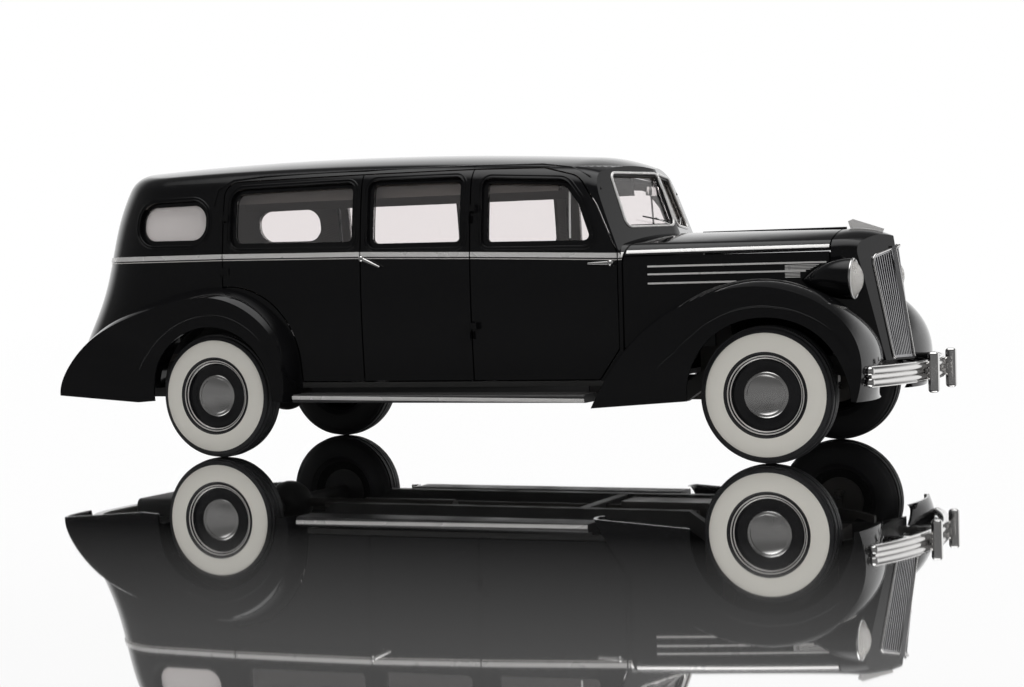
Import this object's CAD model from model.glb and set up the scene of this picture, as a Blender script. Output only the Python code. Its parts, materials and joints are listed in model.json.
# %% [markdown]
# # A long black limousine, finished for its portrait
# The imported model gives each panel, door and wheel at its true size and place.
# This lesson loads it as a fixed frame, gives every surface its finish, and adds the trim that is too fine
# for the solid model: bright strips, ribs round the windows, handles, tyres with white sides and wheel caps.

# %% Load the frame
import json
import math
import bpy
from mathutils import Matrix, Vector


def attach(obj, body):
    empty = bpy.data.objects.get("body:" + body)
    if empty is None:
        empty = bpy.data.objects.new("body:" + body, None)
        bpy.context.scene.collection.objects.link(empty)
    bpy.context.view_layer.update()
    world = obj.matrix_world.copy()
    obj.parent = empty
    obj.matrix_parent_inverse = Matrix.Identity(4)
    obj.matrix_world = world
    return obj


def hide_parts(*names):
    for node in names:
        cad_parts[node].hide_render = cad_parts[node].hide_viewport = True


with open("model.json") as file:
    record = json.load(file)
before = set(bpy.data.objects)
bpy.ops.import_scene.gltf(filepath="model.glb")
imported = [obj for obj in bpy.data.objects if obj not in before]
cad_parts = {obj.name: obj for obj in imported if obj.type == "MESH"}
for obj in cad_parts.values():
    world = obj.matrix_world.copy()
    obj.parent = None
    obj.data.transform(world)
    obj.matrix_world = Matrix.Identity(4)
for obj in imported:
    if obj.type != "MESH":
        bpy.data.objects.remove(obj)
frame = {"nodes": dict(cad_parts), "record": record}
nodes = frame["nodes"]
scene = bpy.context.scene
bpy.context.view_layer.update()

# %% [markdown]
# ## The view
# The picture was taken with a long lens from low down, ahead of the car's right side.
# The place and the angles below were found by fitting a camera to the wheels, the belt strip and the doors.
# A camera matrix is three axes and a place, so it is written as its right, up and backward axes.

# %% Camera
yaw, pitch, roll = math.radians(23.425), math.radians(-2.047), math.radians(-1.591)
sight = Vector((-math.sin(yaw) * math.cos(pitch), math.cos(yaw) * math.cos(pitch), math.sin(pitch)))
level = Vector((math.cos(yaw), math.sin(yaw), 0))
rise = level.cross(sight)
right_axis = math.cos(roll) * level + math.sin(roll) * rise
up_axis = -math.sin(roll) * level + math.cos(roll) * rise

bpy.ops.object.camera_add()
camera = bpy.context.object
camera.data.sensor_fit = "HORIZONTAL"
camera.data.sensor_width = 36.0
camera.data.lens = 2001.6 / 1024 * 36.0
turn = Matrix((right_axis, up_axis, -sight)).transposed().to_4x4()
camera.matrix_world = Matrix.Translation((5.0933, -11.4822, 1.0998)) @ turn
scene.camera = camera
print("lens", round(camera.data.lens, 2))

# %% [markdown]
# ## The room
# The car stands in an even white room. A black car shows its shape only by what it mirrors, so the room
# differs with the ray that looks at it. The eye and the glass see plain white, and other surfaces get a
# softer light. Mirrors see white only on the far side, which the floor needs. A dark curtain on the
# camera's side, a dim ceiling and a bright patch overhead stand in for the rest: without them the upright
# sides would look grey.

# %% Room
scene.view_settings.view_transform = "Standard"
room = bpy.data.worlds.new("white_room")
room.use_nodes = True
scene.world = room
tree = room.node_tree


def ramp(tree, source, start, end, low, high, kind="SMOOTHSTEP"):
    slope = tree.nodes.new("ShaderNodeMapRange")
    slope.interpolation_type = kind
    for label, value in (("From Min", start), ("From Max", end), ("To Min", low), ("To Max", high)):
        slope.inputs[label].default_value = value
    tree.links.new(source, slope.inputs["Value"])
    return slope.outputs[0]


seen = tree.nodes["Background"]
seen.inputs["Color"].default_value = (1, 1, 1, 1)
seen.inputs["Strength"].default_value = 1.0
given = tree.nodes.new("ShaderNodeBackground")
given.inputs["Color"].default_value = (1, 0.99, 0.98, 1)
given.inputs["Strength"].default_value = 0.55
mirrored = tree.nodes.new("ShaderNodeBackground")
mirrored.inputs["Strength"].default_value = 1.0
aim = tree.nodes.new("ShaderNodeTexCoord")
parts = tree.nodes.new("ShaderNodeSeparateXYZ")
tree.links.new(aim.outputs["Generated"], parts.inputs[0])
shade = tree.nodes.new("ShaderNodeMix")
tree.links.new(ramp(tree, parts.outputs["Z"], 0.2, 0.6, 0.0, 1.0), shade.inputs[0])
tree.links.new(ramp(tree, parts.outputs["Y"], 0.1, 0.5, 0.16, 1.0), shade.inputs[2])
tree.links.new(ramp(tree, parts.outputs["Z"], 0.75, 0.97, 0.1, 2.2), shade.inputs[3])
tree.links.new(shade.outputs[0], mirrored.inputs["Color"])
print("room", room.name)

# %% What each kind of ray sees
path = tree.nodes.new("ShaderNodeLightPath")
through = tree.nodes.new("ShaderNodeMath")
through.operation = "MAXIMUM"
tree.links.new(path.outputs["Is Camera Ray"], through.inputs[0])
tree.links.new(path.outputs["Is Transmission Ray"], through.inputs[1])
glossy_or_given = tree.nodes.new("ShaderNodeMixShader")
tree.links.new(path.outputs["Is Glossy Ray"], glossy_or_given.inputs[0])
tree.links.new(given.outputs[0], glossy_or_given.inputs[1])
tree.links.new(mirrored.outputs[0], glossy_or_given.inputs[2])
either = tree.nodes.new("ShaderNodeMixShader")
tree.links.new(through.outputs[0], either.inputs[0])
tree.links.new(glossy_or_given.outputs[0], either.inputs[1])
tree.links.new(seen.outputs[0], either.inputs[2])
tree.links.new(either.outputs[0], tree.nodes["World Output"].inputs["Surface"])
print("room nodes", len(tree.nodes))

# %% [markdown]
# ## Lamps
# Two broad soft lamps shape the white tyres and the trim, one above the car and one ahead of its right side.
# A square lamp in a chrome cap would look like a window, so mirrors don't see the lamps.

# %% Lamps
def soft_lamp(name, place, target, width, depth, watts):
    bpy.ops.object.light_add(type="AREA", location=place)
    lamp = bpy.context.object
    lamp.name = name
    lamp.data.shape = "RECTANGLE"
    lamp.data.size = width
    lamp.data.size_y = depth
    lamp.data.energy = watts
    lamp.rotation_euler = (Vector(target) - Vector(place)).to_track_quat("-Z", "Y").to_euler()
    lamp.visible_camera = False
    lamp.visible_glossy = False
    return lamp


above = soft_lamp("lamp_above", (0.2, -0.6, 4.6), (0.2, -0.2, 1.0), 6.4, 2.4, 170)
ahead_right = soft_lamp("lamp_side", (6.5, -6.0, 3.4), (0.8, -0.4, 0.8), 2.6, 2.2, 90)
print("lamps", above.name, ahead_right.name)

# %% [markdown]
# ## Floor
# The floor is polished like a white mirror and grows duller towards the camera, so the mirrored car fades
# there. A plain gloss would mirror too little, so the floor is a metal whose share falls with the distance.

# %% Floor
bpy.ops.mesh.primitive_plane_add(size=80, location=(0, 0, 0))
floor = bpy.context.object
floor.name = "floor"
floor_finish = bpy.data.materials.new("polished_floor")
floor_finish.use_nodes = True
floor_tree = floor_finish.node_tree
floor_shader = floor_tree.nodes["Principled BSDF"]
floor_shader.inputs["Base Color"].default_value = (0.97, 0.97, 0.97, 1)
floor_shader.inputs["Roughness"].default_value = 0.02
floor_shader.inputs["IOR"].default_value = 2.2
spot = floor_tree.nodes.new("ShaderNodeTexCoord")
spot_parts = floor_tree.nodes.new("ShaderNodeSeparateXYZ")
floor_tree.links.new(spot.outputs["Object"], spot_parts.inputs[0])
plating = ramp(floor_tree, spot_parts.outputs["Y"], -6.2, -3.8, 0.86, 0.997, "LINEAR")
floor_tree.links.new(plating, floor_shader.inputs["Metallic"])
floor.data.materials.append(floor_finish)
print("floor", tuple(floor.dimensions))

# %% [markdown]
# ## Shared effects
# Real surfaces are never quite even. Three small node groups are built once and used in many finishes:
# a mottle that varies a value slowly, a fine grain for bumps, and dust that lies on upward faces.
# Each reads the object's own coordinates, so nothing slides when a door swings.

# %% Node groups
def make_group(name, inputs, outputs):
    group = bpy.data.node_groups.new(name, "ShaderNodeTree")
    for label, kind, value in inputs:
        socket = group.interface.new_socket(name=label, in_out="INPUT", socket_type=kind)
        socket.default_value = value
    for label, kind in outputs:
        group.interface.new_socket(name=label, in_out="OUTPUT", socket_type=kind)
    start = group.nodes.new("NodeGroupInput")
    end = group.nodes.new("NodeGroupOutput")
    place = group.nodes.new("ShaderNodeTexCoord")
    return group, start, end, place


mottle, start, end, place = make_group(
    "slow_mottle",
    (("Scale", "NodeSocketFloat", 4.0), ("Low", "NodeSocketFloat", 0.1), ("High", "NodeSocketFloat", 0.3)),
    (("Value", "NodeSocketFloat"),),
)
noise = mottle.nodes.new("ShaderNodeTexNoise")
noise.inputs["Detail"].default_value = 4.0
spread = mottle.nodes.new("ShaderNodeMapRange")
spread.inputs["From Min"].default_value = 0.3
spread.inputs["From Max"].default_value = 0.7
mottle.links.new(place.outputs["Object"], noise.inputs["Vector"])
mottle.links.new(start.outputs["Scale"], noise.inputs["Scale"])
mottle.links.new(noise.outputs[0], spread.inputs["Value"])
mottle.links.new(start.outputs["Low"], spread.inputs["To Min"])
mottle.links.new(start.outputs["High"], spread.inputs["To Max"])
mottle.links.new(spread.outputs[0], end.inputs["Value"])

grain, start, end, place = make_group(
    "fine_grain",
    (("Scale", "NodeSocketFloat", 400.0), ("Depth", "NodeSocketFloat", 0.0005)),
    (("Normal", "NodeSocketVector"),),
)
noise = grain.nodes.new("ShaderNodeTexNoise")
noise.inputs["Detail"].default_value = 3.0
bump = grain.nodes.new("ShaderNodeBump")
bump.inputs["Strength"].default_value = 0.6
grain.links.new(place.outputs["Object"], noise.inputs["Vector"])
grain.links.new(start.outputs["Scale"], noise.inputs["Scale"])
grain.links.new(noise.outputs[0], bump.inputs["Height"])
grain.links.new(start.outputs["Depth"], bump.inputs["Distance"])
grain.links.new(bump.outputs[0], end.inputs["Normal"])

dust, start, end, place = make_group(
    "settled_dust",
    (
        ("Clean", "NodeSocketColor", (0, 0, 0, 1)),
        ("Dust", "NodeSocketColor", (0.3, 0.28, 0.25, 1)),
        ("Amount", "NodeSocketFloat", 0.02),
    ),
    (("Color", "NodeSocketColor"),),
)
noise = dust.nodes.new("ShaderNodeTexNoise")
noise.inputs["Scale"].default_value = 9.0
noise.inputs["Detail"].default_value = 6.0
facing = dust.nodes.new("ShaderNodeNewGeometry")
split = dust.nodes.new("ShaderNodeSeparateXYZ")
upward = dust.nodes.new("ShaderNodeMapRange")
upward.inputs["From Min"].default_value = -0.2
upward.inputs["To Min"].default_value = 0.15
share = dust.nodes.new("ShaderNodeMath")
share.operation = "MULTIPLY"
amount = dust.nodes.new("ShaderNodeMath")
amount.operation = "MULTIPLY"
blend = dust.nodes.new("ShaderNodeMix")
blend.data_type = "RGBA"
dust.links.new(place.outputs["Object"], noise.inputs["Vector"])
dust.links.new(facing.outputs["Normal"], split.inputs[0])
dust.links.new(split.outputs["Z"], upward.inputs["Value"])
dust.links.new(noise.outputs[0], share.inputs[0])
dust.links.new(upward.outputs[0], share.inputs[1])
dust.links.new(share.outputs[0], amount.inputs[0])
dust.links.new(start.outputs["Amount"], amount.inputs[1])
dust.links.new(amount.outputs[0], blend.inputs[0])
dust.links.new(start.outputs["Clean"], blend.inputs[6])
dust.links.new(start.outputs["Dust"], blend.inputs[7])
dust.links.new(blend.outputs[2], end.inputs["Color"])
print("groups", [g.name for g in bpy.data.node_groups])

# %% [markdown]
# ## Finishes
# Nearly all of the car is black lacquer under a clear coat. The trim is chrome, a little smeared,
# and the grille is duller plated metal. A short helper sets up each finish with its mottle, grain and dust,
# and the few special ones get their own cells.

# %% Finish helper
def use_group(tree, group, **values):
    box = tree.nodes.new("ShaderNodeGroup")
    box.node_tree = group
    for label, value in values.items():
        box.inputs[label].default_value = value
    return box


def finish(name, color, rough, metal=0.0, rough_scale=4.0, grain_scale=None, grain_depth=0.0003, dusty=0.0):
    material = bpy.data.materials.new(name)
    material.use_nodes = True
    tree = material.node_tree
    shader = tree.nodes["Principled BSDF"]
    shader.inputs["Metallic"].default_value = metal
    patchy = use_group(tree, mottle, Scale=rough_scale, Low=rough[0], High=rough[1])
    tree.links.new(patchy.outputs[0], shader.inputs["Roughness"])
    coated = use_group(tree, dust, Clean=(*color, 1), Amount=dusty)
    tree.links.new(coated.outputs[0], shader.inputs["Base Color"])
    if grain_scale:
        pores = use_group(tree, grain, Scale=grain_scale, Depth=grain_depth)
        tree.links.new(pores.outputs[0], shader.inputs["Normal"])
    return material


lacquer = finish("black_lacquer", (0.0035, 0.0035, 0.004), (0.05, 0.11), rough_scale=2.5, dusty=0.006)
clear_coat = lacquer.node_tree.nodes["Principled BSDF"]
clear_coat.inputs["Coat Weight"].default_value = 0.3
clear_coat.inputs["Coat Roughness"].default_value = 0.03
clear_coat.inputs["Specular IOR Level"].default_value = 0.16
chrome = finish("polished_chrome", (0.74, 0.73, 0.72), (0.06, 0.16), metal=1.0, rough_scale=7.0, dusty=0.02)
strip_metal = finish("strip_metal", (0.72, 0.71, 0.70), (0.24, 0.36), metal=0.35, rough_scale=6.0, dusty=0.02)
grille_metal = finish("grille_plate", (0.42, 0.42, 0.43), (0.26, 0.4), metal=1.0, rough_scale=8.0, dusty=0.06)
chassis_black = finish("chassis_black", (0.012, 0.012, 0.012), (0.45, 0.7), grain_scale=220.0, dusty=0.12)
rubber = finish(
    "tyre_rubber", (0.012, 0.012, 0.014), (0.5, 0.68), grain_scale=500.0, grain_depth=0.0004, dusty=0.03
)
white_rubber = finish(
    "white_side_rubber", (0.78, 0.76, 0.70), (0.42, 0.58), grain_scale=300.0, grain_depth=0.0002, dusty=0.12
)
wheel_black = finish("wheel_enamel", (0.006, 0.006, 0.007), (0.12, 0.22), rough_scale=9.0, dusty=0.02)
stripe_silver = finish("stripe_silver", (0.62, 0.60, 0.58), (0.3, 0.4), metal=0.4, rough_scale=9.0)
board_rubber = finish("board_rubber", (0.014, 0.014, 0.015), (0.4, 0.6), grain_scale=260.0, dusty=0.08)
seal_rubber = finish("seal_rubber", (0.01, 0.01, 0.01), (0.35, 0.5), grain_scale=300.0)
dash_enamel = finish("dash_enamel", (0.05, 0.035, 0.025), (0.2, 0.34), rough_scale=11.0, dusty=0.03)
bakelite = finish("wheel_bakelite", (0.02, 0.018, 0.016), (0.18, 0.3), rough_scale=14.0)
iron = finish("worn_iron", (0.09, 0.085, 0.08), (0.4, 0.6), metal=0.8, grain_scale=180.0, dusty=0.08)
print("finishes", len(bpy.data.materials))

# %% [markdown]
# ## Glass
# The windows are clear plate with a faint warm grey tint, seen against the white room through two panes.
# The lamp glass is pressed with upright flutes, so its bump is a wave across the car.
# The tail lamps are red, and the right pane behind the doors is dulled, because no edge shows through it.
# Transmission stays a plain number, because that is how glass is carried over.

# %% Glass finishes
def glass(name, color, rough, weight):
    material = finish(name, color, rough, rough_scale=5.0)
    shader = material.node_tree.nodes["Principled BSDF"]
    shader.inputs["Transmission Weight"].default_value = weight
    shader.inputs["IOR"].default_value = 1.45
    return material


window_glass = glass("window_glass", (0.93, 0.90, 0.90), (0.0, 0.015), 1.0)
lamp_glass = glass("fluted_lamp_glass", (0.90, 0.88, 0.85), (0.18, 0.3), 0.55)
tail_glass = glass("red_lamp_glass", (0.45, 0.01, 0.01), (0.05, 0.12), 0.6)
dull_glass = glass("dull_glass", (0.80, 0.76, 0.75), (0.3, 0.4), 0.3)
tree = lamp_glass.node_tree
place = tree.nodes.new("ShaderNodeTexCoord")
flutes = tree.nodes.new("ShaderNodeTexWave")
flutes.bands_direction = "Y"
flutes.inputs["Scale"].default_value = 30.0
flutes.inputs["Distortion"].default_value = 0.3
press = tree.nodes.new("ShaderNodeBump")
press.inputs["Distance"].default_value = 0.002
press.inputs["Strength"].default_value = 0.5
tree.links.new(place.outputs["Object"], flutes.inputs["Vector"])
tree.links.new(flutes.outputs["Fac"], press.inputs["Height"])
tree.links.new(press.outputs[0], tree.nodes["Principled BSDF"].inputs["Normal"])
print("glass", window_glass.name, lamp_glass.name, tail_glass.name, dull_glass.name)

# %% [markdown]
# ## Cloth and leather inside
# The roof is lined with grey-brown wool cloth, and the seats and door linings are plain leather.
# Cloth gets a small crossed weave, leather a cell pattern with creases, both as bumps at their real scale.

# %% Lining cloth and leather
wool = finish("lining_wool", (0.15, 0.135, 0.12), (0.8, 0.95), rough_scale=12.0)
tree = wool.node_tree
place = tree.nodes.new("ShaderNodeTexCoord")
across = tree.nodes.new("ShaderNodeTexWave")
across.bands_direction = "X"
along = tree.nodes.new("ShaderNodeTexWave")
along.bands_direction = "Y"
weave = tree.nodes.new("ShaderNodeMath")
weave.operation = "MULTIPLY"
nap = tree.nodes.new("ShaderNodeBump")
nap.inputs["Distance"].default_value = 0.0006
for wave in (across, along):
    wave.inputs["Scale"].default_value = 160.0
    wave.inputs["Distortion"].default_value = 1.5
    tree.links.new(place.outputs["Object"], wave.inputs["Vector"])
tree.links.new(across.outputs["Fac"], weave.inputs[0])
tree.links.new(along.outputs["Fac"], weave.inputs[1])
tree.links.new(weave.outputs[0], nap.inputs["Height"])
tree.links.new(nap.outputs[0], tree.nodes["Principled BSDF"].inputs["Normal"])

leather = finish("seat_leather", (0.075, 0.055, 0.045), (0.42, 0.6), rough_scale=16.0, dusty=0.04)
tree = leather.node_tree
place = tree.nodes.new("ShaderNodeTexCoord")
cells = tree.nodes.new("ShaderNodeTexVoronoi")
cells.feature = "DISTANCE_TO_EDGE"
cells.inputs["Scale"].default_value = 240.0
creases = tree.nodes.new("ShaderNodeBump")
creases.inputs["Distance"].default_value = 0.0008
creases.inputs["Strength"].default_value = 0.5
tree.links.new(place.outputs["Object"], cells.inputs["Vector"])
tree.links.new(cells.outputs["Distance"], creases.inputs["Height"])
tree.links.new(creases.outputs[0], tree.nodes["Principled BSDF"].inputs["Normal"])
print("soft finishes", wool.name, leather.name)

# %% [markdown]
# ## Panels
# The solid model's meshes are loose triangles, and gloss paint would show each of them as a facet.
# So each panel is copied, its points are merged, and it is shaded smooth except at real edges.
# The copy stands for the panel and rides on the same body. Faces that look into the cabin get the lining.

# %% Panel helpers
riders = {node: body for body, members in frame["record"]["behaviour"]["bodies"].items() for node in members}


def take(*pieces):
    if bpy.context.mode != "OBJECT":
        bpy.ops.object.mode_set(mode="OBJECT")
    bpy.ops.object.select_all(action="DESELECT")
    for piece in pieces:
        piece.select_set(True)
    bpy.context.view_layer.objects.active = pieces[0]


def edit_all(piece):
    take(piece)
    bpy.ops.object.mode_set(mode="EDIT")
    bpy.ops.mesh.select_mode(type="FACE")
    bpy.ops.mesh.select_all(action="SELECT")


def smooth(piece, degrees=32):
    take(piece)
    bpy.ops.object.shade_smooth_by_angle(angle=math.radians(degrees))


def copy_mesh(name, piece):
    twin = bpy.data.objects.new(name, piece.data.copy())
    scene.collection.objects.link(twin)
    return twin


def paint(piece, *materials):
    piece.data.materials.clear()
    for material in materials:
        piece.data.materials.append(material)
    piece.data.polygons.foreach_set("material_index", [0] * len(piece.data.polygons))


def faces_cabin(face):
    spine = Vector((min(max(face.center.x, -1.9), 0.85), 0, min(max(face.center.z, 0.75), 1.2)))
    return face.normal.dot((spine - face.center).normalized()) > 0.45


def panel(name, members, *materials):
    copies = [copy_mesh(name, nodes[member]) for member in members]
    take(*copies)
    if len(copies) > 1:
        bpy.ops.object.join()
    piece = bpy.context.object
    edit_all(piece)
    bpy.ops.mesh.remove_doubles(threshold=0.00002)
    bpy.ops.object.mode_set(mode="OBJECT")
    bpy.ops.mesh.customdata_custom_splitnormals_clear()
    smooth(piece)
    paint(piece, *materials)
    if len(materials) > 1:
        for face in piece.data.polygons:
            face.material_index = int(faces_cabin(face))
    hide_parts(*members)
    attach(piece, riders[members[0]])
    return piece


# %% Painted panels
DOOR_NAMES = [f"door_{row}_{side}" for row in ("front", "middle", "rear") for side in ("left", "right")]
panels = {name: panel(f"panel_{name}", (name,), lacquer, leather) for name in DOOR_NAMES}
SHELL_NODES = ("roof", "quarter_left", "quarter_right", "tail_panel", "cowl", "screen_frame", "pillars")
panels["shell"] = panel("cabin_shell", SHELL_NODES, lacquer, wool)
SINGLE_PANELS = (
    "hood_left", "hood_right", "hood_sides", "hood_hinge", "luggage_lid", "radiator_shell",
    "front_fenders", "rear_fenders", "headlamps",
)
for name in SINGLE_PANELS:
    panels[name] = panel(f"panel_{name}", (name,), lacquer)
print("panels", {name: len(piece.data.polygons) for name, piece in panels.items()})

# %% [markdown]
# ## Metal, rubber and glass that keep their solids' shape
# The bumper, grille, frame and springs already have the right form, so they need only a smooth copy
# and a finish. Glass stays as the solid pane that it is.

# %% Other smooth copies and plain nodes
KEPT_COLUMNS = ("node", "finish")
KEPT = (
    ("front_bumper", chrome), ("grille", grille_metal), ("hood_ornament", strip_metal),
    ("headlamp_lenses", lamp_glass), ("tail_lamps", tail_glass), ("running_boards", board_rubber),
    ("floor_pan", chassis_black),
    ("chassis_frame", chassis_black), ("front_axle", chassis_black), ("rear_axle", chassis_black),
    ("leaf_springs", iron), ("engine_block", iron), ("exhaust", iron), ("fuel_tank", chassis_black),
    ("dashboard", dash_enamel), ("steering_wheel", bakelite), ("knuckle_left", iron), ("knuckle_right", iron),
)
for node, material in KEPT:
    panels[node] = panel(f"piece_{node}", (node,), material)
GLASS_NODES = ["fixed_glass"] + [name.replace("door", "glass") for name in DOOR_NAMES]
for node in GLASS_NODES:
    panels[node] = panel(f"pane_{node}", (node,), window_glass)
QUARTER_PANE = (-1.5, -0.5)
panels["fixed_glass"].data.materials.append(dull_glass)
for face in panels["fixed_glass"].data.polygons:
    face.material_index = int(face.center.x < QUARTER_PANE[0] and face.center.y < QUARTER_PANE[1])
print("kept shapes", len(KEPT) + len(GLASS_NODES))

# %% [markdown]
# ## Tyres, wheels and caps
# A tyre, a wheel and a hubcap are all turned shapes, so each is a half profile spun about the wheel's axis.
# A ring of points is put in the profile's places, out from the wheel's middle plane, and Spin makes the rest.
# The white side, the ribs of the tread and the silver lines on the rim are faces between given radii.

# %% Spinning helper
AXLES = {"front": (2.0, 0.78), "rear": (-1.505, 0.80)}
AXLE_Z = 0.385
SIDES = (("left", 1), ("right", -1))


def spun(name, centre, side, profile, steps=96):
    bpy.ops.object.select_all(action="DESELECT")
    bpy.ops.mesh.primitive_circle_add(vertices=len(profile), radius=0.1)
    piece = bpy.context.object
    piece.name = name
    for point, (radius, out) in zip(piece.data.vertices, profile):
        point.co = (centre[0], centre[1] + side * out / 1000, centre[2] + radius / 1000)
    piece.location = (0, 0, 0)
    edit_all(piece)
    bpy.ops.mesh.spin(steps=steps, angle=2 * math.pi, center=centre, axis=(0, 1, 0))
    bpy.ops.mesh.select_all(action="SELECT")
    bpy.ops.mesh.remove_doubles(threshold=0.00002)
    bpy.ops.mesh.normals_make_consistent(inside=False)
    bpy.ops.object.mode_set(mode="OBJECT")
    smooth(piece, 38)
    return piece


def ring_faces(piece, centre, side, first, last, slot, least_out=-1.0):
    for face in piece.data.polygons:
        radius = 1000 * math.hypot(face.center.x - centre[0], face.center.z - centre[2])
        out = 1000 * side * (face.center.y - centre[1])
        if first < radius < last and out > least_out:
            face.material_index = slot


# %% Profiles, as radius and distance out, in millimetres
side_wall = [(208, 66), (214, 72), (224, 79), (233, 84), (237, 87), (239, 90), (256, 93), (280, 95)]
side_wall += [(300, 95), (320, 93), (334, 89.5), (341, 87), (343, 84.5), (352, 81), (361, 76.5), (365, 73)]
tread = []
for groove in (58, 29, 0, -29, -58):
    crown = 385 - 20 * ((groove + 14) / 76) ** 2
    lower = 385 - 20 * ((groove - 14) / 76) ** 2
    tread += [(crown, groove + 10), (crown - 1, groove + 4), (378, groove + 3), (378, groove - 3)]
    tread += [(lower - 1, groove - 4), (lower, groove - 10)]
far_wall = [(radius, -out) for radius, out in reversed(side_wall)]
TYRE_PROFILE = side_wall + tread + far_wall + [(200, -60), (200, 60)]
RIM_PROFILE = [
    (190, -66), (206, -70), (206, 66), (212, 75), (220, 80.5), (225, 81.5), (226, 80), (220, 84), (213, 82),
    (209, 78), (206, 74), (203, 73), (200, 70.5), (197, 66), (195, 56), (188, 48), (170, 47), (150, 53),
    (132, 60), (118, 63), (60, 63), (42, 60), (42, -40), (22, -40), (22, 40), (110, 52), (150, 42), (185, 34),
]
CAP_PROFILE = [
    (0, 60), (126, 58), (128, 62), (127, 68), (122, 72), (113, 74.5), (110, 73), (107, 75), (98, 80),
    (80, 87), (58, 93.5), (32, 98.2), (12, 99.8), (0, 100),
]
print("profile points", len(TYRE_PROFILE), len(RIM_PROFILE), len(CAP_PROFILE))

# %% Four corners
for row, (axle_x, half_track) in AXLES.items():
    for label, side in SIDES:
        corner = f"{row}_{label}"
        centre = (axle_x, side * half_track, AXLE_Z)
        tyre = spun(f"tyre_{corner}_ribbed", centre, side, TYRE_PROFILE)
        paint(tyre, rubber, white_rubber)
        ring_faces(tyre, centre, side, 238, 342, 1, least_out=60)
        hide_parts(f"tyre_{corner}")
        wheel = spun(f"wheel_{corner}_disc", centre, side, RIM_PROFILE)
        paint(wheel, wheel_black, stripe_silver)
        ring_faces(wheel, centre, side, 210, 221, 1, least_out=81)
        ring_faces(wheel, centre, side, 201, 205, 1, least_out=70)
        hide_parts(f"wheel_{corner}")
        cap = spun(f"wheel_{corner}_cap", centre, side, CAP_PROFILE, steps=72)
        paint(cap, chrome)
        for piece in (tyre, wheel, cap):
            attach(piece, riders[f"wheel_{corner}"])
print("tyre faces", len(tyre.data.polygons), "wheel", len(wheel.data.polygons), "cap", len(cap.data.polygons))

# %% [markdown]
# ## Strips along the body
# A belt strip runs from the hood round the tail, and thinner ones lie on the hood's sides. On the car they
# are rolled sections clipped to the skin. A strip could be swept along a path, but then it would float or
# sink in the curved panels. So it is cut from a copy of the panel itself with Bisect, and Solidify raises
# it.

# %% Strip helper
def outward(point):
    spine = Vector((min(max(point.x, -1.7), 2.2), 0, point.z))
    return (point - spine).normalized()


def cut(piece, place, normal):
    edit_all(piece)
    bpy.ops.mesh.bisect(plane_co=place, plane_no=normal, clear_inner=True, use_fill=False)
    bpy.ops.object.mode_set(mode="OBJECT")


def band_on(name, source, low, high, ends, thick, material, side=0):
    piece = copy_mesh(name, source)
    piece.parent = None
    rear, front = ends
    rise = (low[1] - low[0]) / (front - rear)
    lift = (high[1] - high[0]) / (front - rear)
    cut(piece, (rear, 0, low[0]), (-rise, 0, 1))
    cut(piece, (rear, 0, high[0]), (lift, 0, -1))
    cut(piece, (rear, 0, 1), (1, 0, 0))
    cut(piece, (front, 0, 1), (-1, 0, 0))
    edit_all(piece)
    bpy.ops.mesh.select_all(action="DESELECT")
    bpy.ops.object.mode_set(mode="OBJECT")
    for face in piece.data.polygons:
        inward = face.normal.dot(outward(face.center)) < 0.55
        face.select = inward or side * face.center.y < 0
    bpy.ops.object.mode_set(mode="EDIT")
    bpy.ops.mesh.delete(type="FACE")
    bpy.ops.object.mode_set(mode="OBJECT")
    paint(piece, material)
    raise_it = piece.modifiers.new("raise", "SOLIDIFY")
    raise_it.thickness = thick
    raise_it.offset = 1
    take(piece)
    bpy.ops.object.modifier_apply(modifier="raise")
    smooth(piece, 40)
    return piece


# %% Belt strip, one length on each panel that it crosses
BELT_COLUMNS = ("panel", "body", "rear", "front", "rear_z", "front_z", "height")
BELT = (
    ("shell", "body", -2.80, -1.474, 1.249, 1.2435, 0.028),
    ("door_rear", None, -1.466, -0.509, 1.2435, 1.2299, 0.028),
    ("door_middle", None, -0.501, 0.206, 1.2297, 1.209, 0.028),
    ("door_front", None, 0.214, 1.110, 1.209, 1.1775, 0.028),
    ("shell", "body", 1.118, 1.30, 1.1775, 1.179, 0.028),
    ("hood", None, 1.16, 2.253, 1.192, 1.196, 0.016),
)
LINE_COLUMNS = ("name", "drop", "share", "thick", "finish")
LINES = (("belt", 0.0, 1.0, 0.006, strip_metal), ("belt_line", 0.024, 0.2, 0.003, stripe_silver))
for panel_name, body, rear, front, rear_z, front_z, height in BELT:
    for label, side in SIDES:
        source = panel_name if panel_name == "shell" else f"{panel_name}_{label}"
        lines = LINES[:1] if panel_name == "hood" else LINES
        for line_name, drop, share, thick, material in lines:
            half = height * share / 2
            low = (rear_z - drop - half, front_z - drop - half)
            high = (rear_z - drop + half, front_z - drop + half)
            name = f"{line_name}_{source}_{label}_{round(rear * 1000)}"
            strip = band_on(name, panels[source], low, high, (rear, front), thick, material, side)
            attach(strip, body or riders[source])
print("belt strips", 2 * len(BELT))

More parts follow.
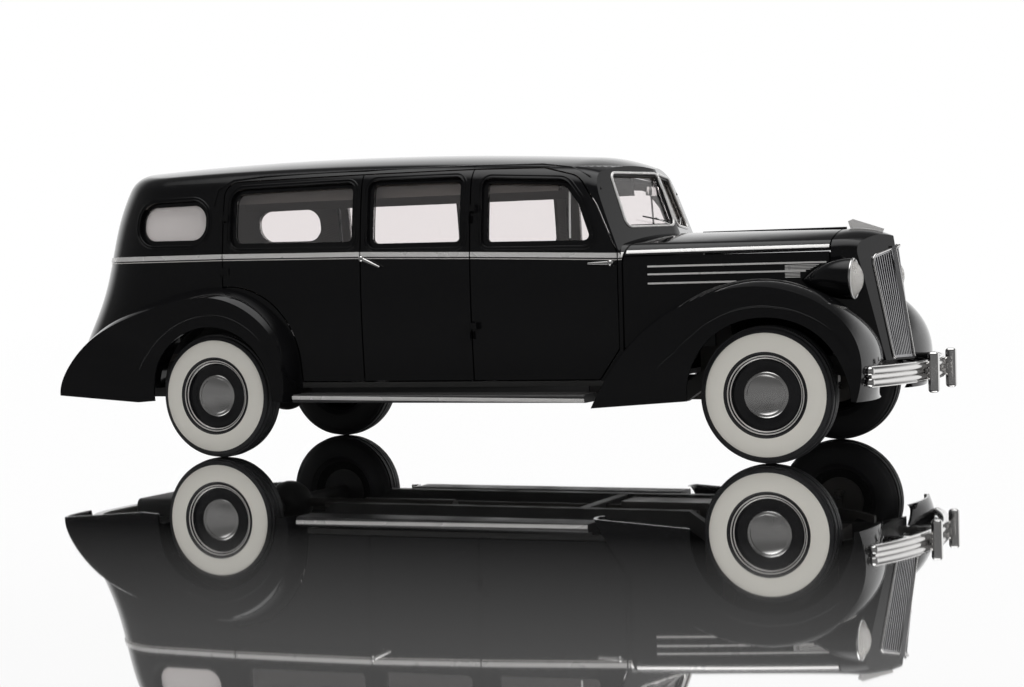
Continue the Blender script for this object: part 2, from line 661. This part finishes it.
# %% Thin strips on the hood's sides
HOOD_STRIP_COLUMNS = ("rear", "front", "rear_z", "front_z")
HOOD_STRIPS = (
    (1.28, 2.24, 1.109, 1.107),
    (1.28, 2.13, 1.064, 1.061),
    (1.28, 1.76, 1.012, 1.011),
)
STRIP_HALF, STRIP_THICK = 0.005, 0.005
for row, (rear, front, rear_z, front_z) in enumerate(HOOD_STRIPS):
    for label, side in SIDES:
        low = (rear_z - STRIP_HALF, front_z - STRIP_HALF)
        high = (rear_z + STRIP_HALF, front_z + STRIP_HALF)
        name = f"hood_strip_{row}_{label}"
        strip = band_on(name, panels["hood_sides"], low, high, (rear, front), STRIP_THICK, strip_metal, side)
        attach(strip, "body")
print("hood strips", 2 * len(HOOD_STRIPS))

# %% Small fins at the front of the hood's sides
FINS, UPPER_FINS, FIN_PITCH = 8, 4, 0.008
FIN_REAR, FIN_HALF, FIN_THICK = 2.02, 0.002, 0.006
for row in range(FINS):
    height, front = 1.082 - FIN_PITCH * row, 2.10
    if row < UPPER_FINS:
        height, front = 1.094 - FIN_PITCH * row, 2.20 - 0.015 * row
    for label, side in SIDES:
        low, high = (height - FIN_HALF,) * 2, (height + FIN_HALF,) * 2
        name = f"hood_fin_{row}_{label}"
        fin = band_on(name, panels["hood_sides"], low, high, (FIN_REAR, front), FIN_THICK, strip_metal, side)
        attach(fin, "body")
print("hood fins", 2 * FINS)

# %% [markdown]
# ## Ribs round the windows
# Each window stands in a raised frame with two thin ribs, and a drip moulding runs above the doors. Such
# ribs are pressed into the steel. Here a rib is a rod along the window's outline: the outline's corners are
# rounded, each point is dropped onto the skin by a ray across the car, and the curve gets a round bevel.

# %% Rod helpers
def rod(name, points, radius, material, body, closed=False):
    bpy.ops.object.select_all(action="DESELECT")
    bpy.ops.curve.primitive_nurbs_path_add(location=(0, 0, 0))
    piece = bpy.context.object
    piece.name = name
    line = piece.data
    line.splines.clear()
    spline = line.splines.new("POLY")
    spline.points.add(len(points) - 1)
    for knot, point in zip(spline.points, points):
        knot.co = (*point, 1)
    spline.use_cyclic_u = closed
    line.dimensions = "3D"
    line.bevel_depth = radius
    line.bevel_resolution = 2
    line.use_fill_caps = not closed
    bpy.ops.object.convert(target="MESH")
    paint(piece, material)
    smooth(piece, 50)
    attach(piece, body)
    return piece


def rounded(corners, grow, steps=7):
    middle = Vector((sum(x for x, z, r in corners), sum(z for x, z, r in corners))) / len(corners)
    round_line = []
    count = len(corners)
    for n, (x, z, r) in enumerate(corners):
        here = Vector((x, z))
        back = (Vector(corners[n - 1][:2]) - here).normalized()
        ahead = (Vector(corners[(n + 1) % count][:2]) - here).normalized()
        half = back.angle(ahead) / 2
        bisector = (back + ahead).normalized()
        here = here - bisector * grow / math.sin(half)
        reach = (r + grow) / math.tan(half)
        hub = here + bisector * (r + grow) / math.sin(half)
        first, last = here + back * reach - hub, here + ahead * reach - hub
        for step in range(steps + 1):
            share = step / steps
            spoke = (first * (1 - share) + last * share).normalized() * (r + grow)
            round_line.append(hub + spoke)
    return round_line


def onto_skin(piece, line, side, lift):
    points = []
    for spot in line:
        hit, place, normal, face = piece.ray_cast(Vector((spot.x, side * 1.2, spot.y)), Vector((0, -side, 0)))
        if hit:
            points.append(place + Vector((0, side * lift, 0)))
    return points


# %% Window ribs
WINDOWS = {
    "door_front": (
        (0.281, 1.250, 0.05), (0.992, 1.240, 0.06), (0.898, 1.500, 0.12), (0.800, 1.625, 0.11),
        (0.281, 1.655, 0.05),
    ),
    "door_middle": ((-0.461, 1.262, 0.06), (0.167, 1.256, 0.06), (0.167, 1.668, 0.06), (-0.461, 1.670, 0.06)),
    "door_rear": (
        (-1.421, 1.292, 0.075), (-0.543, 1.278, 0.06), (-0.543, 1.664, 0.06), (-1.421, 1.655, 0.09),
    ),
    "shell": ((-2.110, 1.326, 0.125), (-1.580, 1.320, 0.125), (-1.580, 1.600, 0.125), (-2.110, 1.594, 0.125)),
}
RIB_COLUMNS = ("grow", "radius", "lift")
RIBS = ((0.004, 0.005, 0.001), (0.020, 0.006, 0.0))
for name, corners in WINDOWS.items():
    for label, side in SIDES:
        source = panels[name if name == "shell" else f"{name}_{label}"]
        body = "body" if name == "shell" else riders[f"{name}_{label}"]
        for row, (grow, radius, lift) in enumerate(RIBS):
            line = onto_skin(source, rounded(corners, grow), side, lift)
            rod(f"window_rib_{name}_{label}_{row}", line, radius, lacquer, body, closed=True)
print("window ribs", 2 * len(RIBS) * len(WINDOWS))

# %% Drip mouldings above the doors
DRIP = (
    (1.00, 1.560), (0.93, 1.640), (0.80, 1.700), (0.60, 1.728), (0.20, 1.733), (-0.50, 1.735), (-1.20, 1.730),
    (-1.42, 1.715), (-1.52, 1.660), (-1.545, 1.560),
)
for label, side in SIDES:
    line = onto_skin(panels["shell"], [Vector(spot) for spot in DRIP], side, 0.002)
    rod(f"drip_moulding_{label}", line, 0.006, lacquer, "body")
print("drip points", len(line))

# %% [markdown]
# ## Handles, lamp rims and small fittings
# Lever handles, lamp rims, the windscreen's bright frame, wipers, the mirror and the vent bars are small
# cast or turned pieces. They are built from rods, tori and spheres, each placed by its hub.

# %% Small shapes
def block(name, low, high, material, body, round_by=0.002, drop=0.0):
    bpy.ops.mesh.primitive_cube_add(size=2, location=(0, 0, 0))
    piece = bpy.context.object
    piece.name = name
    for point in piece.data.vertices:
        x, y, z = (high[n] if point.co[n] > 0 else low[n] for n in range(3))
        point.co = (x, y, z - drop if x == high[0] else z)
    if round_by:
        edit_all(piece)
        bpy.ops.mesh.bevel(offset=round_by, segments=2, affect="EDGES")
        bpy.ops.object.mode_set(mode="OBJECT")
    paint(piece, material)
    smooth(piece, 40)
    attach(piece, body)
    return piece


def at_rest(piece, material, body, degrees=40):
    take(piece)
    bpy.ops.object.transform_apply(location=True, rotation=True, scale=True)
    paint(piece, material)
    smooth(piece, degrees)
    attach(piece, body)
    return piece


# %% Lever handles
HANDLE_COLUMNS = ("door", "hub_x", "hub_z", "tip_x", "tip_z")
HANDLES = (
    ("door_front", 1.083, 1.135, 0.945, 1.135),
    ("door_middle", -0.480, 1.203, -0.362, 1.150),
)
for door, hub_x, hub_z, tip_x, tip_z in HANDLES:
    for label, side in SIDES:
        skin, body = panels[f"{door}_{label}"], riders[f"{door}_{label}"]
        foot = onto_skin(skin, [Vector((hub_x, hub_z))], side, 0.0)[0]
        hub = foot + Vector((0, side * 0.034, 0))
        tip = Vector((tip_x, foot.y + side * 0.030, tip_z))
        rod(f"handle_stem_{door}_{label}", [foot, hub], 0.009, chrome, body)
        bpy.ops.mesh.primitive_uv_sphere_add(segments=24, ring_count=14, radius=0.019, location=hub)
        at_rest(bpy.context.object, chrome, body, 60).name = f"handle_hub_{door}_{label}"
        lever = tip - hub
        bpy.ops.mesh.primitive_cone_add(vertices=20, radius1=0.0135, radius2=0.006, depth=lever.length)
        cone = bpy.context.object
        cone.location = (hub + tip) / 2
        cone.rotation_euler = lever.to_track_quat("Z", "Y").to_euler()
        at_rest(cone, chrome, body, 50).name = f"handle_lever_{door}_{label}"
print("handles", 2 * len(HANDLES))

# %% Lamp rims
def ring(name, centre, faces, major, minor, material):
    bpy.ops.mesh.primitive_torus_add(
        major_segments=72, minor_segments=12, major_radius=major, minor_radius=minor, location=centre,
        rotation=Vector(faces).to_track_quat("Z", "Y").to_euler(),
    )
    piece = at_rest(bpy.context.object, material, "body", 60)
    piece.name = name
    return piece


for label, side in SIDES:
    ring(f"headlamp_rim_{label}", (2.424, side * 0.525, 1.010), (1, 0, 0), 0.1085, 0.0085, chrome)
    tail_faces = (-0.84, side * 0.41, 0.35)
    ring(f"tail_lamp_ring_{label}", (-2.588, side * 0.4425, 1.002), tail_faces, 0.034, 0.004, chrome)
print("rims", 4)

# %% Windscreen frames and wipers
SCREEN_BASE, SCREEN_TOP = Vector((1.222, 0, 1.351)), Vector((1.103, 0, 1.662))
PANE = ((0.026, 0.012, 0.04), (0.560, 0.0, 0.04), (0.545, 0.322, 0.04), (0.026, 0.330, 0.04))
for label, side in SIDES:
    across = Vector((-0.21, side, 0)).normalized()
    ahead = across.cross(SCREEN_TOP - SCREEN_BASE).normalized()
    ahead = ahead if ahead.x > 0 else -ahead
    upward = ahead.cross(across * side)
    for row, (grow, radius, lift) in enumerate(((0.010, 0.0085, 0.001), (-0.004, 0.004, -0.010))):
        edge = rounded(PANE, grow)
        line = [SCREEN_BASE + across * spot.x + upward * spot.y + ahead * lift for spot in edge]
        rod(f"screen_frame_{label}_{row}", line, radius, (strip_metal, seal_rubber)[row], "body", closed=True)
    pivot = SCREEN_BASE + across * 0.10 + upward * 0.004 + ahead * 0.012
    elbow = SCREEN_BASE + across * 0.235 + upward * 0.045 + ahead * 0.012
    rod(f"wiper_arm_{label}", [pivot - ahead * 0.02, pivot, elbow], 0.0035, chrome, "body")
    blade = []
    for out in (0.12, 0.24, 0.36):
        up = 0.028 + 0.12 * (out - 0.12)
        blade.append(SCREEN_BASE + across * out + upward * up + ahead * 0.004)
    rod(f"wiper_blade_{label}", blade, 0.0045, seal_rubber, "body")
print("windscreen frames", 4)

# %% Grille frame
GRILLE_FOOT, GRILLE_HEAD = Vector((2.640, 0, 0.552)), Vector((2.542, 0, 1.190))
slant = (GRILLE_HEAD - GRILLE_FOOT).length
FRAME = ((0.0, 0.0, 0.001), (0.196, 0.0, 0.02), (0.272, slant - 0.06, 0.05), (0.0, slant, 0.001))
for label, side in SIDES:
    across = Vector((-0.45, side, 0)).normalized()
    ahead = across.cross(GRILLE_HEAD - GRILLE_FOOT).normalized()
    ahead = ahead if ahead.x > 0 else -ahead
    upward = ahead.cross(across * side)
    flat = [spot for spot in rounded(FRAME, 0.0) if spot.x > 0.001]
    line = [GRILLE_FOOT + across * spot.x + upward * spot.y + ahead * 0.001 for spot in flat]
    rod(f"grille_frame_{label}", line, 0.0085, chrome, "body")
rod("grille_spine", [GRILLE_FOOT, GRILLE_HEAD], 0.007, chrome, "body")
print("grille frame points", len(line))

# %% Bumper bars
BLADE_ENDS, BLADE_NOSE = (2.592, 0.860), 2.778
bow = BLADE_NOSE - BLADE_ENDS[0]
blade_r = (BLADE_ENDS[1] ** 2 + bow ** 2) / (2 * bow)
half_turn = math.asin(BLADE_ENDS[1] / blade_r)
BAR_R, BAR_SET_IN = 0.0275, 0.012
bar_line_r = blade_r - BAR_SET_IN
turns = [half_turn * (step / 16 - 1) for step in range(33)]
for row, height in enumerate((0.452, 0.512)):
    line = []
    for t in turns:
        x = BLADE_NOSE - blade_r + bar_line_r * math.cos(t)
        line.append(Vector((x, bar_line_r * math.sin(t), height)))
    rod(f"bumper_bar_{row}", line, BAR_R, chrome, "body")
    for end in (line[0], line[-1]):
        bpy.ops.mesh.primitive_uv_sphere_add(segments=24, ring_count=14, radius=BAR_R, location=end)
        at_rest(bpy.context.object, chrome, "body", 60).name = f"bumper_end_{row}_{end.y > 0}"
print("bumper bars", 2)

# %% Mirror and vent bars
rod("mirror_stalk", [(1.085, 0, 1.640), (1.075, 0, 1.585)], 0.005, chrome, "body")
block("mirror_head", (1.060, -0.105, 1.535), (1.078, 0.105, 1.590), chrome, "body", 0.006)
for label, side in SIDES:
    pane = panels[f"glass_front_{label}"]
    heights = [1.285 + 0.030 * step for step in range(11)]
    line = onto_skin(pane, [Vector((0.820 - 0.02 * (z - 1.285), z)) for z in heights], side, 0.001)
    rod(f"vent_bar_{label}", line, 0.0065, strip_metal, riders[f"glass_front_{label}"])
print("vent bar points", len(line))

# %% Running boards
BOARD_RIBS, RIB_HALF = 7, 0.006
for label, side in SIDES:
    inner, outer = sorted((side * 0.927, side * 0.9365))
    low, high = (-0.934, inner, 0.366), (0.958, outer, 0.388)
    block(f"board_strip_{label}", low, high, strip_metal, "body", 0.003, drop=0.018)
    for row in range(BOARD_RIBS):
        middle = side * (0.775 + 0.022 * row)
        low = (-0.90, middle - RIB_HALF, 0.3945)
        high = (0.93, middle + RIB_HALF, 0.3985)
        block(f"board_rib_{label}_{row}", low, high, board_rubber, "body", 0.0015)
print("board ribs", 2 * BOARD_RIBS)

# %% [markdown]
# ## Lining above the windows
# Inside, a padded cloth rail runs along each side above the windows, and it darkens the top of every window.
# It is a long cube with a rounded lower edge, bent to the roof's curve by moving its points inwards.

# %% Cloth rails
for label, side in SIDES:
    bpy.ops.mesh.primitive_cube_add(size=2, location=(0, 0, 0))
    rail = bpy.context.object
    rail.name = f"window_rail_{label}"
    edit_all(rail)
    bpy.ops.mesh.subdivide(number_cuts=15)
    bpy.ops.object.mode_set(mode="OBJECT")
    for point in rail.data.vertices:
        u = point.co.copy()
        x = -0.70 + 1.42 * u.x
        skin = 0.655 - 0.030 * ((x + 0.25) / 1.4) ** 2
        z = 1.640 + 0.075 * u.z
        lean = 0.30 * (z - 1.60)
        bulge = 0.010 * (1 - u.z ** 2)
        point.co = (x, side * (skin - lean - 0.012 * (1 - u.y) - (bulge if u.y < 0 else 0)), z)
    paint(rail, wool)
    smooth(rail, 50)
    edit_all(rail)
    bpy.ops.mesh.normals_make_consistent(inside=False)
    bpy.ops.object.mode_set(mode="OBJECT")
    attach(rail, "body")
print("cloth rails", 2)

# %% [markdown]
# ## Creases in the fenders
# A pressed crease follows each wheel opening and catches a thin bright line. It stands only a few millimetres
# proud, so a slim rod half sunk in the fender gives it.

# %% Fender creases
# Angle round the axle in degrees, and reach from it in metres
FRONT_CREASE = (
    (22, 0.535), (40, 0.530), (60, 0.505), (80, 0.490), (100, 0.490), (120, 0.500), (140, 0.520),
    (155, 0.560), (168, 0.640),
)
REAR_CREASE = (
    (12, 0.480), (30, 0.490), (50, 0.495), (70, 0.500), (90, 0.500), (110, 0.500), (130, 0.505), (148, 0.520),
    (165, 0.560),
)
CREASE_COLUMNS = ("fender", "axle", "points")
CREASES = (
    ("front_fenders", "front", FRONT_CREASE),
    ("rear_fenders", "rear", REAR_CREASE),
)
CREASE_STEPS = 6
for fender, row, points in CREASES:
    axle_x, half_track = AXLES[row]
    for label, side in SIDES:
        spots = []
        for (first, near), (last, far) in zip(points, points[1:]):
            for step in range(CREASE_STEPS):
                turn = math.radians(first + (last - first) * step / CREASE_STEPS)
                reach = near + (far - near) * step / CREASE_STEPS
                spots.append(Vector((axle_x + reach * math.cos(turn), AXLE_Z + reach * math.sin(turn))))
        line = onto_skin(panels[fender], spots, side, -0.001)
        rod(f"crease_{fender}_{label}", line, 0.005, lacquer, "body")
print("crease points", len(line))

# %% [markdown]
# ## Seats
# Three leather benches, each a firm base with a stuffed cushion and a stuffed back in upright pleats.
# A cloth simulation could fill them, but sewn pleats over springs hold one shape, so a cube is subdivided
# and its points are pushed out into rolls, round the edges and along each pleat.

# %% Stuffed benches
def stuffed(name, low, high, lean, pleats, puff, face_axis):
    bpy.ops.mesh.primitive_cube_add(size=2, location=(0, 0, 0))
    piece = bpy.context.object
    piece.name = name
    edit_all(piece)
    bpy.ops.mesh.subdivide(number_cuts=23)
    bpy.ops.object.mode_set(mode="OBJECT")
    middle = [(a + b) / 2 for a, b in zip(low, high)]
    half = [(b - a) / 2 for a, b in zip(low, high)]
    for point in piece.data.vertices:
        u = point.co.copy()
        rim = max(abs(u[n]) for n in range(3) if n != face_axis)
        full = math.sqrt(max(0.0, 1 - rim ** 4))
        roll = 0.75 + 0.25 * abs(math.cos(u.y * pleats * math.pi / 2))
        spot = Vector([middle[n] + half[n] * u[n] for n in range(3)])
        if u[face_axis] > 0:
            spot[face_axis] += puff * full * roll - puff * (1 - full) * 0.5
        spot.x -= lean * (spot.z - low[2])
        point.co = spot
    paint(piece, leather)
    smooth(piece, 60)
    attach(piece, "body")
    return piece


SEAT_Z, PLEATS = 0.690, 9
BENCH_COLUMNS = ("name", "shift", "foot", "half")
BENCHES = (("front", 0.0, 0.462, 0.625), ("middle", -0.745, 0.462, 0.625), ("rear", -1.680, 0.665, 0.550))
for name, shift, foot, half in BENCHES:
    low, high = (0.300 + shift, -half, foot), (0.820 + shift, half, SEAT_Z)
    block(f"bench_base_{name}", low, high, leather, "body", 0.012)
    low, high = (0.385 + shift, -half, SEAT_Z), (0.850 + shift, half, 0.775)
    cushion = stuffed(f"bench_cushion_{name}", low, high, 0, PLEATS, 0.022, 2)
    low, high = (0.290 + shift, -half, SEAT_Z), (0.400 + shift, half, 1.160)
    stuffed(f"bench_back_{name}", low, high, 0.14, PLEATS, 0.02, 0)
    if name == "front":
        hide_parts("seats")
print("benches", len(BENCHES))
